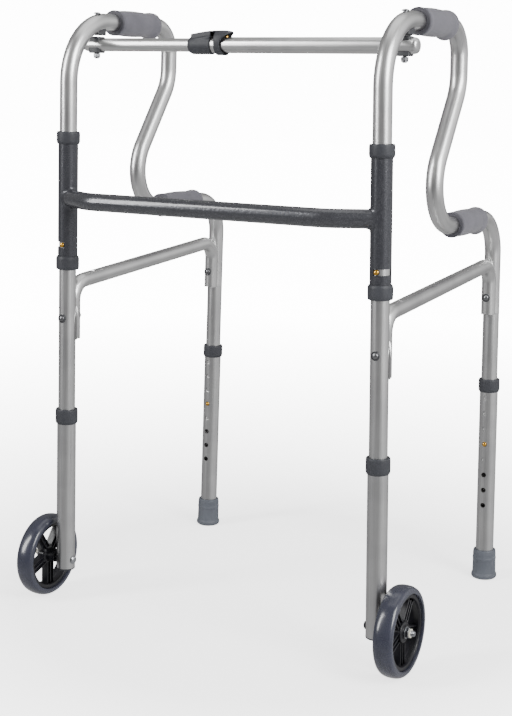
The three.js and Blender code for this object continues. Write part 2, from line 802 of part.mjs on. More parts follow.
function addTopBar() {
  place(frame, "bar_outer_tube", barTube(OUTER_BAR, 1), finishes.aluminium);
  place(frame, "bar_inner_tube", barTube(INNER_BAR, -1), finishes.aluminium);
  const bush = alongX(rod(OUTER_BAR.bore - GAP, BUSH.from, BUSH.to, BUSH.bore))
    .translate(0, PIVOT_Y, BAR_Z);
  place(frame, "bar_guide_bush", bush, finishes.blackPlastic);
  place(frame, "lock_collar", lockCollar(), finishes.darkPlastic);
  place(frame, "release_lever", releaseLever(), finishes.darkPlastic);
  place(frame, "lock_button", lockButton(), finishes.brass);

  const rightTop = SADDLE_PLANE_Z - 1.5;
  const leftTop = SADDLE_PLANE_Z - 2.2;
  place(frame, "right_bar_saddle", barSaddle(1, OUTER_BAR.r, BAR_Z + 4, rightTop), finishes.blackPlastic);
  place(frame, "left_bar_saddle", barSaddle(-1, INNER_BAR.r, BAR_Z + 2, leftTop), finishes.blackPlastic);
  const rightLow = BAR_Z - OUTER_BAR.r - 2.5;
  const leftLow = BAR_Z - INNER_BAR.r - 2.5;
  place(frame, "right_bar_washer", barSaddle(1, OUTER_BAR.r, rightLow, BAR_Z - 4), finishes.blackPlastic);
  place(frame, "left_bar_washer", barSaddle(-1, INNER_BAR.r, leftLow, BAR_Z - 3), finishes.blackPlastic);

  const rightGroup = leaningGroup(1);
  frame.add(rightGroup);
  const washer = rod(9, SADDLE_PLANE_Z - 1, SADDLE_PLANE_Z - 0.4, PIVOT_BOLT_R + GAP)
    .translate(0, PIVOT_Y, 0);
  place(rightGroup, "right_pivot_washer", washer, finishes.blackPlastic);
  const nutTop = rightLow - 2 * GAP;
  const nut = rod(PIVOT_NUT_R, nutTop - PIVOT_NUT, nutTop, PIVOT_BOLT_R + THREAD_GAP, HEX).translate(0, PIVOT_Y, 0);
  place(rightGroup, "right_pivot_nut", nut, finishes.zinc);

  const stud = rod(PIVOT_BOLT_R, leftLow - 8, leftTop - 0.8);
  const studNut = rod(PIVOT_NUT_R, leftLow - PIVOT_NUT, leftLow - GAP, 0, HEX);
  place(frame, "left_pivot_nut", join([stud, studNut]).translate(-PIVOT_X, PIVOT_Y, 0), finishes.zinc);
}

addCrossbar();
addSide(-1, "left");
addSide(1, "right");
addTopBar();

export default frame;
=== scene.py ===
"""Folding walking frame: fine pieces, finishes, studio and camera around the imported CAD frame.

Shapes are drawn in millimetres in a placing (the base, or one leaning side frame), whose matrix
turns them into metres in the shared frame. Where a piece lies is read from the CAD node it stands for.
"""

import json
import math

import bmesh
import bpy
import numpy as np
from mathutils import Matrix, Vector


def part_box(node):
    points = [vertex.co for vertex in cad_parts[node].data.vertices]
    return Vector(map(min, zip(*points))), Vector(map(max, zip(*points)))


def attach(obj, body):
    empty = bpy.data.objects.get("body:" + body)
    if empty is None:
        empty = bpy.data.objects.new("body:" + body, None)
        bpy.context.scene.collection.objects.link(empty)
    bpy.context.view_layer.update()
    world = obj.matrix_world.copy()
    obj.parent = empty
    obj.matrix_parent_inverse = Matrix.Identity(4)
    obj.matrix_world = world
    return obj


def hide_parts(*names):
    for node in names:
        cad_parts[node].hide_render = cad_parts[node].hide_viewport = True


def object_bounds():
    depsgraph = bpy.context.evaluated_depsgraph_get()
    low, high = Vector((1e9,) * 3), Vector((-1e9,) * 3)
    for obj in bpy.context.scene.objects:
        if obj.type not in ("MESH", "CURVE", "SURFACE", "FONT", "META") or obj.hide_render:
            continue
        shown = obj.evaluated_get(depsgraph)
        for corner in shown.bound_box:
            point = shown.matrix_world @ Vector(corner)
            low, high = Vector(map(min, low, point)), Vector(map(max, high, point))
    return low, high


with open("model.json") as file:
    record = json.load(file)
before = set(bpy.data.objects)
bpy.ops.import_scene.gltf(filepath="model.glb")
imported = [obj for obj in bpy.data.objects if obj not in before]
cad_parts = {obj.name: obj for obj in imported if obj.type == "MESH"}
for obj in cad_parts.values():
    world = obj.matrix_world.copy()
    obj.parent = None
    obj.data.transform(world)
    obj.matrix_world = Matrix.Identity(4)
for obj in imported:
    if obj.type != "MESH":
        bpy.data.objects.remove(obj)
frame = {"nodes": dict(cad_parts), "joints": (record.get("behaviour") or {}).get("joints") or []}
cad_low, cad_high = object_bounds()

# ---- Driving dimensions, in millimetres -------------------------------------------------------

MM = 0.001
GAP = 0.3  # between touching pieces
TUBE_R = 12.7
TUBE_BORE = 11.1
TOP_FRONT_BEND = 88
TOP_REAR_BEND = 42
DROP_Y = 264.5
KNEE_Y = 181
KNEE_TOP_Z = 809
S_BEND = 65
S_ANGLE = 36
LOWER_BEND = 60
SLEEVE_BORE = 13.3
LEG_BORE = 13
HOLE_R = 4
HOLE_PITCH = 25.4
BUTTON_R = 3.6
BRACE_R = 11.1
BRACE_BORE = 9.6
BRACE_OFFSET = 14
BRACE_BEND = 28
CROSSBAR_BEND = 60
CROSSBAR_ANGLE = 30
BRACE_RISE = {"front": 52, "rear": 54}  # from a brace bolt to the top of its bent end
LEG_HOLES = {"front": (7, 1), "rear": (8, 3)}  # number of holes, and the button's place from the top
SLOT_ANGLES = (-17, 111)  # degrees from the front, outwards
SLOT_HEIGHT = 8.6
SPOKES = 5
GRIP_FLANGE = 4.4
GRIP_DROP = 3.2  # how far the rear end of a grip hangs below its round
WELD_SIZE = 4.5
COPE = {"gap": 0.4, "reach": 60}  # cut of the crossbar's ends round the sleeves
COLLAR_CAP = 4.7
BRACE_SADDLE = {"front": 58, "rear": 54}  # length of the wings at a brace end
SADDLE_WRAP = 78  # degrees from the middle of a wing plate to each edge
SADDLE_FALL = 26  # how much lower the plate is at its edges than in the middle
BRACE_CUT = 24  # degrees of the slanted cut at a brace end
BRACE_VENT = {"radius": 1.8, "back": 46, "rise": 12}
TYRE_BORE = 52.5
TYRE_SHOULDER = 55.5
THREAD = {"pitch": 1.25, "turns": 10}

# Lock of the top bar
COLLAR_SHOULDER = {"height": 3.8, "at": 42, "spread": 13}  # at and spread in degrees from the top
BAND_GAP = 7.7  # from the collar to the band of the hood
BAND_WIDTH = 9.5
TONGUE_RISE = 15.6  # its fixed end, above the axis of the bar
TONGUE_OVERLAP = 3  # into the hood

# Fineness
SEGMENTS = 48
BEND_STEP = 4  # degrees between two rings of a bend
SHARP = math.radians(32)


# ---- Placings ---------------------------------------------------------------------------------


class Placing:
    """Millimetre axes of a group of pieces: y runs back from the front legs, z up from the floor."""

    def __init__(self, origin, up):
        across = Vector((0, 1, 0)).cross(up)
        axes = Matrix((across, (0, 1, 0), up)).transposed()
        self.matrix = Matrix.Translation(origin) @ (axes * MM).to_4x4()
        self.inverse = self.matrix.inverted()

    def span(self, node):
        """Lowest and highest corner of a CAD node in this placing."""
        points = [self.inverse @ vertex.co for vertex in frame["nodes"][node].data.vertices]
        return Vector(map(min, *points)), Vector(map(max, *points))


class Side(Placing):
    """One side frame, leaning outwards: z runs up its front leg."""

    def __init__(self, word):
        fold = joints[f"{word}_fold"]
        up = Vector(fold["axis"])
        up = up if up.z > 0 else -up
        pivot = Vector(fold["pos_m"])
        super().__init__(pivot - up * (pivot.z / up.z), up)
        self.word = word
        self.sign = -1 if word == "left" else 1

    def node(self, part):
        return f"{self.word}_{part}"


joints = {joint["name"]: joint for joint in frame["joints"]}
sides = [Side("left"), Side("right")]
base = Placing(Vector((0, joints["left_fold"]["pos_m"][1], 0)), Vector((0, 0, 1)))


# ---- Mesh building ----------------------------------------------------------------------------


class Shell:
    """A surface of closed rings of points, with UVs in metres: u round the ring, v along."""

    def __init__(self, rings, wrap=True):
        points = np.asarray(rings, float)
        rows, columns = points.shape[:2]
        self.points = points.reshape(-1, 3)
        steps = np.linalg.norm(np.roll(points, -1, axis=0) - points, axis=2).max(axis=1)
        along = np.concatenate([[0], np.cumsum(steps)]) * MM
        girth = np.linalg.norm(np.roll(points, -1, axis=1) - points, axis=2).sum(axis=1).max()
        around = np.linspace(0, girth * MM, columns + 1)
        self.faces = []
        self.uvs = []
        for i in range(rows if wrap else rows - 1):
            for j in range(columns):
                i2, j2 = (i + 1) % rows, (j + 1) % columns
                corners = [(i, j), (i, j2), (i2, j2), (i2, j)]
                self.faces.append([a * columns + b for a, b in corners])
                spots = [(j, i), (j + 1, i), (j + 1, i + 1), (j, i + 1)]
                self.uvs.append([(around[a], along[b]) for a, b in spots])

    def moved(self, matrix):
        """The same surface in another place; the matrix is in millimetres."""
        turn = np.array(matrix.to_3x3())
        self.points = self.points @ turn.T + np.array(matrix.translation)
        return self


def mesh_of(shells, matrix):
    """One mesh in metres from several shells, welded, with its faces turned outwards."""
    vertices, faces, uvs = [], [], []
    for shell in shells:
        faces += [[len(vertices) + k for k in face] for face in shell.faces]
        uvs += shell.uvs
        vertices += [matrix @ Vector(point) for point in shell.points]
    mesh = bpy.data.meshes.new("shells")
    mesh.from_pydata(vertices, [], faces)
    layer = mesh.uv_layers.new(name="UVMap")
    layer.data.foreach_set("uv", [value for face in uvs for corner in face for value in corner])
    soft = bmesh.new()
    soft.from_mesh(mesh)
    bmesh.ops.remove_doubles(soft, verts=soft.verts, dist=1e-7)
    bmesh.ops.recalc_face_normals(soft, faces=soft.faces)
    soft.to_mesh(mesh)
    soft.free()
    return mesh


def new_object(name, mesh):
    made = bpy.data.objects.new(name, mesh)
    bpy.context.scene.collection.objects.link(made)
    return made


def carve(piece, cutters, matrix):
    """Cuts the cutters' shells out of the piece."""
    tool = new_object("cutter", mesh_of(cutters, matrix))
    modifier = piece.modifiers.new("cut", "BOOLEAN")
    modifier.operation = "DIFFERENCE"
    modifier.solver = "EXACT"
    modifier.object = tool
    depsgraph = bpy.context.evaluated_depsgraph_get()
    cut = bpy.data.meshes.new_from_object(piece.evaluated_get(depsgraph))
    piece.modifiers.clear()
    piece.data = cut
    bpy.data.objects.remove(tool)


def add_shells(piece, shells, matrix):
    """Joins more shells to a piece as they are."""
    merged = bmesh.new()
    merged.from_mesh(piece.data)
    merged.from_mesh(mesh_of(shells, matrix))
    merged.to_mesh(piece.data)
    merged.free()


def make(placing, node, body, finish, shells, cutters=(), extras=(), tag="fine", stands=True):
    """A finished piece: shells with the cutters taken out, and the extras added as they are."""
    piece = new_object(f"{node}_{tag}", mesh_of(shells, placing.matrix))
    if cutters:
        carve(piece, cutters, placing.matrix)
    if extras:
        add_shells(piece, extras, placing.matrix)
    piece.data.materials.clear()
    piece.data.materials.append(finishes[finish])
    piece.data.shade_smooth()
    piece.data.set_sharp_from_angle(angle=SHARP)
    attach(piece, body)
    if stands:
        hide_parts(node)
    return piece


def rounded(outline, steps=5):
    """Replaces each corner (r, z, radius) of a closed outline by a curve of that size."""
    made = []
    count = len(outline)
    for k, corner in enumerate(outline):
        here = Vector(corner[:2])
        if len(corner) == 2:
            made.append(here)
            continue
        before = Vector(outline[k - 1][:2]) - here
        after = Vector(outline[(k + 1) % count][:2]) - here
        start = here + before.normalized() * min(corner[2], before.length / 2)
        end = here + after.normalized() * min(corner[2], after.length / 2)
        for step in range(steps + 1):
            t = step / steps
            made.append(start * (1 - t) ** 2 + here * (2 * t * (1 - t)) + end * t**2)
    return made


def turned(outline, segments=SEGMENTS, steps=5):
    """Turned shell about Z from a closed outline of (radius, z) or (radius, z, corner radius)."""
    angles = np.linspace(0, 2 * math.pi, segments, endpoint=False)
    ring = np.stack([np.cos(angles), np.sin(angles), np.zeros(segments)], axis=1)
    return Shell([ring * r + (0, 0, z) for r, z in rounded(outline, steps)])


def rod(radius, low, high, bore=0, edge=0, segments=SEGMENTS):
    return turned([(bore, low), (radius, low, edge), (radius, high, edge), (bore, high)], segments)


def hexagon(radius, low, high, bore=0, edge=0.7):
    """Hexagonal nut or bolt head with chamfered ends; radius is to its corners."""
    outline = [(bore, low), (radius - edge, low), (radius, low + edge), (radius, high - edge),
               (radius - edge, high), (bore, high)]
    return turned(outline, segments=6)


def block(low, high, edge):
    """Box with rounded upright edges and softened rims."""
    half = (Vector(high) - Vector(low)) / 2
    middle = (Vector(high) + Vector(low)) / 2
    corner = []
    for quarter in range(4):
        for step in range(5):
            angle = math.pi / 2 * (quarter + step / 4)
            sign_x = 1 if quarter in (0, 3) else -1
            sign_y = 1 if quarter in (0, 1) else -1
            corner.append((sign_x * (half.x - edge) + edge * math.cos(angle),
                           sign_y * (half.y - edge) + edge * math.sin(angle)))
    rim = edge / 3
    rows = []
    for inset, z in ((None, -half.z), (rim, -half.z), (0, -half.z + rim), (0, half.z - rim),
                     (rim, half.z), (None, half.z)):
        shrink = 0 if inset is None else 1 - inset / min(half.x, half.y)
        rows.append([(middle.x + x * shrink, middle.y + y * shrink, middle.z + z) for x, y in corner])
    return Shell(rows, wrap=False)


def along_x(shell, sign=1):
    return shell.moved(Matrix.Rotation(sign * math.pi / 2, 4, "Y"))


def along_y(shell, sign=1):
    return shell.moved(Matrix.Rotation(-sign * math.pi / 2, 4, "X"))


def at(shell, x=0, y=0, z=0):
    return shell.moved(Matrix.Translation((x, y, z)))


class Path:
    """Centreline of straight runs and bends in one plane."""

    def __init__(self, across, up, start, heading):
        self.across, self.up = Vector(across), Vector(up)
        self.spot = Vector(start)
        self.heading = math.radians(heading)
        self.stations = []
        self.mark()

    def spread(self, pair):
        return self.across * pair[0] + self.up * pair[1]

    def mark(self):
        ahead = (math.cos(self.heading), math.sin(self.heading))
        self.stations.append((self.spread(self.spot), self.spread(ahead)))

    def run(self, length):
        self.spot += Vector((math.cos(self.heading), math.sin(self.heading))) * length
        self.mark()
        return self

    def bend(self, radius, degrees):
        side = math.copysign(1, degrees)
        start = self.heading
        centre = self.spot + Vector((-math.sin(start), math.cos(start))) * (side * radius)
        steps = math.ceil(abs(degrees) / BEND_STEP)
        for k in range(1, steps + 1):
            self.heading = start + math.radians(degrees) * k / steps
            out = Vector((math.sin(self.heading), -math.cos(self.heading)))
            self.spot = centre + out * (side * radius)
            self.mark()
        return self

    def ring(self, station, radius, segments):
        point, ahead = station
        normal = self.across.cross(self.up)
        other = ahead.cross(normal)
        angles = np.linspace(0, 2 * math.pi, segments, endpoint=False)
        return (np.array(point) + radius * (np.outer(np.cos(angles), normal)
                                            + np.outer(np.sin(angles), other)))

    def sweep(self, radius, bore=0, segments=SEGMENTS):
        rows = [self.ring(station, radius, segments) for station in self.stations]
        inside = self.stations[::-1] if bore else (self.stations[-1], self.stations[0])
        rows += [self.ring(station, bore, segments) for station in inside]
        return Shell(rows)


# ---- Materials --------------------------------------------------------------------------------


class Nodes:
    """Short way to build a node tree."""

    def __init__(self, tree):
        self.tree = tree
        tree.nodes.clear()

    def add(self, kind, links=None, **values):
        node = self.tree.nodes.new(kind)
        for name, value in values.items():
            setattr(node, name, value)
        for socket, value in (links or {}).items():
            if isinstance(value, bpy.types.NodeSocket):
                self.tree.links.new(value, node.inputs[socket])
            else:
                node.inputs[socket].default_value = value
        return node

    def noise(self, coordinates, scale, detail=3.0, stretch=(1, 1, 1)):
        mapped = self.add("ShaderNodeMapping", {"Vector": coordinates, "Scale": stretch})
        return self.add("ShaderNodeTexNoise", {"Vector": mapped.outputs[0], "Scale": scale,
                                               "Detail": detail}).outputs["Fac"]

    def ramp(self, value, low, high, dark, light):
        """Number or colour from dark at low to light at high."""
        share = self.add("ShaderNodeMapRange", {"Value": value, "From Min": low, "From Max": high})
        if not hasattr(dark, "__len__"):
            share.inputs["To Min"].default_value = dark
            share.inputs["To Max"].default_value = light
            return share.outputs[0]
        mix = self.add("ShaderNodeMix", data_type="RGBA")
        self.tree.links.new(share.outputs[0], mix.inputs[0])
        mix.inputs[6].default_value = (*dark, 1)
        mix.inputs[7].default_value = (*light, 1)
        return mix.outputs[2]

    def bump(self, height, strength, distance):
        links = {"Height": height, "Strength": strength, "Distance": distance}
        return self.add("ShaderNodeBump", links).outputs[0]


def shader(name, build, **sockets):
    """New material: build(nodes, object coordinates, uv coordinates) gives linked sockets."""
    material = bpy.data.materials.new(name)
    material.use_nodes = True
    nodes = Nodes(material.node_tree)
    place = nodes.add("ShaderNodeTexCoord")
    linked = build(nodes, place.outputs["Object"], place.outputs["UV"])
    plain = {socket.replace("_", " "): value for socket, value in sockets.items()}
    principled = nodes.add("ShaderNodeBsdfPrincipled", {**plain, **linked})
    nodes.add("ShaderNodeOutputMaterial", {"Surface": principled.outputs[0]})
    return material


def satin_metal(name, dark, light, smooth=0.26, rough=0.4):
    """Drawn and anodised metal: faint lines along the tube, soft cloudy patches."""
    def build(nodes, place, uv):
        lines = nodes.noise(uv, 1.0, 4.0, (900, 7, 1))
        clouds = nodes.noise(place, 26.0, 3.0)
        return {
            "Base Color": nodes.ramp(clouds, 0.35, 0.65, dark, light),
            "Roughness": nodes.ramp(lines, 0.3, 0.7, smooth, rough),
            "Normal": nodes.bump(lines, 0.1, 0.0002),
        }
    return shader(name, build, Metallic=1.0)


def hammer_paint(name, dimples, gloss):
    """Hammertone: dimpled glossy paint with paler flecks in the dimples."""
    def build(nodes, place, uv):
        warped = nodes.add("ShaderNodeVectorMath", {0: place}, operation="ADD")
        wobble = nodes.noise(place, 160.0, 2.0)
        scaled = nodes.add("ShaderNodeVectorMath", {0: wobble, 1: (0.003,) * 3}, operation="MULTIPLY")
        nodes.tree.links.new(scaled.outputs[0], warped.inputs[1])
        cells = nodes.add("ShaderNodeTexVoronoi", {"Vector": warped.outputs[0], "Scale": 330.0,
                                                   "Smoothness": 0.6}, feature="SMOOTH_F1")
        distance = cells.outputs["Distance"]
        return {
            "Base Color": nodes.ramp(distance, 0.15, 0.6, (0.062, 0.063, 0.071), (0.038, 0.039, 0.046)),
            "Roughness": nodes.ramp(distance, 0.1, 0.6, 0.22, 0.34),
            "Normal": nodes.bump(distance, dimples, 0.0005),
        }
    return shader(name, build, Metallic=0.35, Coat_Weight=gloss, Coat_Roughness=0.1)


def moulded(name, dark, light, roughness, grain=900.0, bump=0.2, cloud=35.0, **sockets):
    """Moulded plastic or rubber: fine grain, slow colour change, slightly uneven gloss."""
    def build(nodes, place, uv):
        fine = nodes.noise(place, grain, 4.0)
        slow = nodes.noise(place, cloud, 3.0)
        return {
            "Base Color": nodes.ramp(slow, 0.3, 0.7, dark, light),
            "Roughness": nodes.ramp(fine, 0.3, 0.7, roughness - 0.06, roughness + 0.06),
            "Normal": nodes.bump(fine, bump, 0.0004),
        }
    return shader(name, build, **sockets)


finishes = {
    "aluminium": satin_metal("satin_aluminium", (0.60, 0.60, 0.60), (0.68, 0.68, 0.675)),
    "zinc": satin_metal("zinc_plate", (0.36, 0.37, 0.39), (0.48, 0.49, 0.51), 0.24, 0.34),
    "dark_zinc": satin_metal("dark_zinc", (0.17, 0.172, 0.18), (0.25, 0.255, 0.265), 0.3, 0.42),
    "brass": satin_metal("brass", (0.62, 0.33, 0.05), (0.78, 0.45, 0.09), 0.16, 0.26),
    "hammertone": hammer_paint("hammertone_paint", 0.5, 0.7),
    "sleeve_paint": hammer_paint("sleeve_paint", 0.08, 0.05),
    "dark_plastic": moulded("dark_plastic", (0.03, 0.031, 0.037), (0.038, 0.04, 0.047), 0.5,
                            Specular_IOR_Level=0.35),
    "black_plastic": moulded("black_plastic", (0.028, 0.029, 0.033), (0.04, 0.041, 0.046), 0.48),
    "grip": moulded("grip_rubber", (0.092, 0.09, 0.106), (0.114, 0.111, 0.13), 0.78, 1400.0, 0.35,
                    Sheen_Weight=0.15, Sheen_Roughness=0.5),
    "grip_flange": moulded("grip_flange", (0.048, 0.047, 0.057), (0.062, 0.061, 0.073), 0.6),
    "foot_rubber": moulded("foot_rubber", (0.066, 0.074, 0.09), (0.085, 0.093, 0.111), 0.62),
    "tyre": moulded("tyre_rubber", (0.025, 0.027, 0.042), (0.031, 0.033, 0.051), 0.26, 1200.0, 0.05,
                    Coat_Weight=0.5, Coat_Roughness=0.12),
    "wheel_rim": moulded("rim_plastic", (0.004, 0.004, 0.006), (0.008, 0.008, 0.011), 0.36),
    "nylon": moulded("nylon_insert", (0.50, 0.48, 0.40), (0.60, 0.58, 0.50), 0.45),
}


# ---- Crossbar and sleeves ---------------------------------------------------------------------


def build_crossbar():
    low, high = base.span("crossbar_tube")
    height = (low.z + high.z) / 2
    bow = -low.y - TUBE_R
    reach = -sides[0].matrix.translation.x / MM - height * math.tan(
        math.asin(abs(joints["left_fold"]["axis"][0])))
    angle = math.radians(CROSSBAR_ANGLE)
    slant = (bow - CROSSBAR_BEND * (1 - math.cos(angle))) / math.sin(angle)
    bend_end = reach - slant * math.cos(angle) - CROSSBAR_BEND * math.sin(angle)
    path = Path((1, 0, 0), (0, 1, 0), (-reach, 0), -CROSSBAR_ANGLE)
    path.run(slant).bend(CROSSBAR_BEND, CROSSBAR_ANGLE).run(2 * bend_end)
    path.bend(CROSSBAR_BEND, CROSSBAR_ANGLE).run(slant)
    tube = at(path.sweep(TUBE_R, TUBE_BORE), z=height)
    copes = []
    for side in sides:
        cope = rod(SLEEVE_BORE + COPE["gap"], height - COPE["reach"], height + COPE["reach"])
        copes.append(cope.moved(base.inverse @ side.matrix))
    make(base, "crossbar_tube", "crossbar", "hammertone", [tube], copes)


def weld_fillet(side):
    """Hollow fillet where the crossbar meets the sleeve, tangent to both."""
    height = sum(base.span("crossbar_tube")[k].z for k in (0, 1)) / 2
    sleeve_r = side.span(side.node("hinge_sleeve"))[1].x
    angle = math.radians(CROSSBAR_ANGLE)
    inwards = Vector((-side.sign * math.cos(angle), -math.sin(angle), 0))
    across = Vector((-inwards.y, inwards.x, 0))
    upright = Vector((0, 0, 1))

    def on_sleeve(turn, radius):
        sideways = max(-0.97 * sleeve_r, min(0.97 * sleeve_r, radius * math.cos(turn)))
        out = math.sqrt(sleeve_r**2 - sideways**2) + 0.05
        return inwards * out + across * sideways + upright * (height + radius * math.sin(turn))

    rings = []
    for turn in np.linspace(0, 2 * math.pi, 64, endpoint=False):
        spread = across * math.cos(turn) + upright * math.sin(turn)
        joint = on_sleeve(turn, TUBE_R + 0.1)
        foot = on_sleeve(turn, TUBE_R + WELD_SIZE)
        crest = joint + inwards * (WELD_SIZE + 0.25 * math.cos(23 * turn)) + spread * 0.05
        curve = [foot * (1 - t) ** 2 + joint * (2 * t * (1 - t)) + crest * t**2
                 for t in np.linspace(0, 1, 7)]
        rings.append(curve + [crest - spread, joint - spread - inwards, foot - inwards])
    return Shell(rings)


def slot_cutter(side, stop_z):
    """Slot of the stop button: a fan from the front to the outer side, with soft corners."""
    reach = 2 * SLEEVE_BORE
    fan = [(0.0, 0.0)]
    for degrees in np.linspace(*SLOT_ANGLES, 24):
        turn = math.radians(degrees)
        fan.append((side.sign * reach * math.sin(turn), -reach * math.cos(turn)))
    half = SLOT_HEIGHT / 2
    rows = []
    for share, z in ((0, -half), (1, -half), (1, half), (0, half)):
        rows.append([(x * share, y * share, stop_z + z) for x, y in fan])
    return Shell(rows, wrap=False)


def collar_shell(low_z, high_z, radius, tube_r, bore, cap_up):
    """Collar that caps a tube's end: rounded rim at the cap, tapered skirt on the tube."""
    cap, skirt = (high_z, low_z) if cap_up else (low_z, high_z)
    way = math.copysign(1, skirt - cap)
    return turned([
        (bore, cap, 0.6),
        (radius - 0.3, cap, 2.4),
        (radius, cap + way * 5, 2),
        (radius, skirt - way * 3.2, 1.6),
        (tube_r + 1.1, skirt, 0.8),
        (tube_r + GAP, skirt),
        (tube_r + GAP, cap + way * COLLAR_CAP),
        (bore, cap + way * COLLAR_CAP),
    ])


def build_sleeve(side):
    low, high = side.span(side.node("hinge_sleeve"))
    stop_z = side.span(side.node("stop_button"))
    stop_z = (stop_z[0].z + stop_z[1].z) / 2
    tube = rod(high.x, low.z, high.z, SLEEVE_BORE)
    make(side, side.node("hinge_sleeve"), "crossbar", "sleeve_paint", [tube],
         [slot_cutter(side, stop_z)], [weld_fillet(side)])
    for part, cap_up in (("sleeve_collar_lower", False), ("sleeve_collar_upper", True)):
        node = side.node(part)
        c_low, c_high = side.span(node)
        ring = collar_shell(c_low.z, c_high.z, c_high.x, high.x, SLEEVE_BORE, cap_up)
        make(side, node, "crossbar", "dark_plastic", [ring])


# ---- Side frames ------------------------------------------------------------------------------


def side_path(side):
    low, high = side.span(side.node("side_tube"))
    top_z = high.z - TUBE_R
    depth = high.y - TUBE_R
    lean = math.radians(S_ANGLE)
    slant = (DROP_Y - KNEE_Y - 2 * S_BEND * (1 - math.cos(lean))) / math.sin(lean)
    grip_z = KNEE_TOP_Z - 2 * S_BEND * math.sin(lean) - slant * math.cos(lean) - LOWER_BEND
    path = Path((0, 1, 0), (0, 0, 1), (0, low.z), 90)
    path.run(top_z - TOP_FRONT_BEND - low.z).bend(TOP_FRONT_BEND, -90)
    path.run(DROP_Y - TOP_REAR_BEND - TOP_FRONT_BEND).bend(TOP_REAR_BEND, -90)
    path.run(top_z - TOP_REAR_BEND - KNEE_TOP_Z).bend(S_BEND, -S_ANGLE)
    path.run(slant).bend(S_BEND, S_ANGLE).bend(LOWER_BEND, 90)
    path.run(depth - 2 * LOWER_BEND - KNEE_Y).bend(LOWER_BEND, -90)
    path.run(grip_z - LOWER_BEND - low.z)
    return path


def middle(side, node):
    low, high = side.span(side.node(node))
    return (low + high) / 2


def build_side_tube(side):
    stop = middle(side, "stop_button")
    front = middle(side, "front_leg_button")
    rear = middle(side, "rear_leg_button")
    depth = middle(side, "rear_lower_tube").y
    holes = [
        at(along_y(rod(HOLE_R, 0, 20, segments=24), -1), z=stop.z),
        at(along_y(rod(HOLE_R, 0, 20, segments=24)), z=front.z),
        at(along_y(rod(HOLE_R, 0, 20, segments=24), -1), y=depth, z=rear.z),
    ]
    make(side, side.node("side_tube"), f"{side.word}_side", "aluminium",
         [side_path(side).sweep(TUBE_R, TUBE_BORE)], holes)


def build_brace(side):
    depth = middle(side, "rear_lower_tube").y
    node = side.node("brace_tube")
    points = [side.inverse @ vertex.co for vertex in frame["nodes"][node].data.vertices]
    front_low = min(point.z for point in points if point.y < depth / 2)
    rear_low = min(point.z for point in points if point.y > depth / 2)
    top = side.span(node)[1].z
    front_y, rear_y = BRACE_OFFSET, depth - BRACE_OFFSET
    front_top = middle(side, "brace_front_bolt").z + BRACE_RISE["front"]
    rise = middle(side, "brace_rear_bolt").z + BRACE_RISE["rear"] - front_top
    tilt = math.atan(rise / (rear_y - front_y))
    slope = math.degrees(tilt)
    straight = (rear_y - front_y - BRACE_BEND * (1 - math.sin(tilt))
                - BRACE_BEND * (1 + math.sin(tilt))) / math.cos(tilt)
    shoulder = front_top - BRACE_BEND * math.cos(tilt)
    end_z = shoulder + straight * math.sin(tilt)
    path = Path((0, 1, 0), (0, 0, 1), (front_y, front_low), 90)
    path.run(shoulder - front_low).bend(BRACE_BEND, -(90 - slope)).run(straight)
    path.bend(BRACE_BEND, -(90 + slope)).run(end_z - rear_low)
    legs = [at(rod(TUBE_R + GAP, front_low - 20, top + 40), y=y) for y in (0, depth)]
    corners = []
    for y, z, inwards in ((front_y, front_low, 1), (rear_y, rear_low, -1)):
        wedge = block((-30, -30, -12), (30, 30, 0), 1)
        wedge.moved(Matrix.Translation((0, y + inwards * BRACE_R, z + 1))
                    @ Matrix.Rotation(inwards * math.radians(BRACE_CUT), 4, "X"))
        corners.append(wedge)
    vent = at(along_x(rod(BRACE_VENT["radius"], -20, 20, segments=16)),
              y=front_y + BRACE_VENT["back"], z=shoulder + BRACE_BEND + BRACE_VENT["rise"])
    saddles = [saddle_plate(0, front_low, front_low + BRACE_SADDLE["front"], 1),
               saddle_plate(depth, rear_low, rear_low + BRACE_SADDLE["rear"], -1)]
    make(side, node, f"{side.word}_side", "aluminium", [path.sweep(BRACE_R, BRACE_BORE)],
         legs + corners + [vent], saddles)


def saddle_plate(leg_y, low_z, high_z, inwards):
    """Flattened wings of a brace end, wrapped round the inner half of the leg."""
    near, far = TUBE_R + GAP, TUBE_R + 2.3
    rows = []
    for degrees in np.linspace(-SADDLE_WRAP, SADDLE_WRAP, 27):
        angle = math.radians(degrees)
        fall = SADDLE_FALL * (abs(degrees) / SADDLE_WRAP) ** 2.2
        ring = []
        for r, z in ((near, low_z), (far - 0.5, low_z), (far, low_z + 0.6), (far, high_z - fall - 0.6),
                     (far - 0.5, high_z - fall), (near, high_z - fall)):
            ring.append((r * math.sin(angle), leg_y + inwards * r * math.cos(angle), z))
        rows.append(ring)
    closing = [[tuple(np.mean(ring, axis=0))] * 6 for ring in (rows[0], rows[-1])]
    return Shell([closing[0], *rows, closing[1]], wrap=False)


def dome(radius, low, high, shank, shank_end):
    """Low domed head from z = low up to high, with its shank down to shank_end."""
    rows = [(0, shank_end), (shank, shank_end), (shank, low), (radius, low, 0.5)]
    for k in range(1, 9):
        angle = math.pi / 2 * k / 8
        rows.append((radius * math.cos(angle), low + 0.6 + (high - low - 0.6) * math.sin(angle)))
    return turned(rows[:-1] + [(0, high)])


